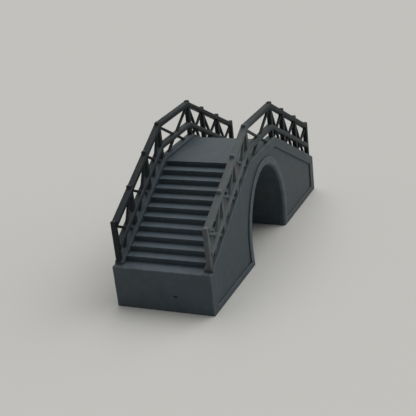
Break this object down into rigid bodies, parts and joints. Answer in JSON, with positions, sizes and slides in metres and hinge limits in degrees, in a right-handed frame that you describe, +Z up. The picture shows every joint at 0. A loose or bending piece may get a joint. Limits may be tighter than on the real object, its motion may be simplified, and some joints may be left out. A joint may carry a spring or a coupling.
{
  "type": "moon bridge miniature",
  "caption": "Resin miniature of a humpbacked moon bridge with an arch, stairs up both ends and braced post railings.",
  "frame": {"origin": "centre of the base, on the level floor it stands on", "axes": "+X along the bridge towards the rear end, +Y across it towards the left railing, +Z up"},
  "size_m": [0.0932, 0.03, 0.043],
  "materials": {
    "resin": "matte"
  },
  "bodies": {
    "root": {"arch_vault": "resin", "deck_slab": "resin", "front_end_wall": "resin", "front_landing": "resin", "front_stair_core": "resin", "front_steps": "resin", "left_arch_ring": "resin", "left_deck_braces": "resin", "left_deck_kerb": "resin", "left_deck_mid_rail": "resin", "left_deck_top_rail": "resin", "left_front_braces": "resin", "left_front_kerb": "resin", "left_front_mid_rail": "resin", "left_front_top_rail": "resin", "left_posts": "resin", "left_rear_braces": "resin", "left_rear_kerb": "resin", "left_rear_mid_rail": "resin", "left_rear_top_rail": "resin", "left_side_wall": "resin", "rear_end_wall": "resin", "rear_landing": "resin", "rear_stair_core": "resin", "rear_steps": "resin", "right_arch_ring": "resin", "right_deck_braces": "resin", "right_deck_kerb": "resin", "right_deck_mid_rail": "resin", "right_deck_top_rail": "resin", "right_front_braces": "resin", "right_front_kerb": "resin", "right_front_mid_rail": "resin", "right_front_top_rail": "resin", "right_posts": "resin", "right_rear_braces": "resin", "right_rear_kerb": "resin", "right_rear_mid_rail": "resin", "right_rear_top_rail": "resin", "right_side_wall": "resin"}
  },
  "joints": []
}
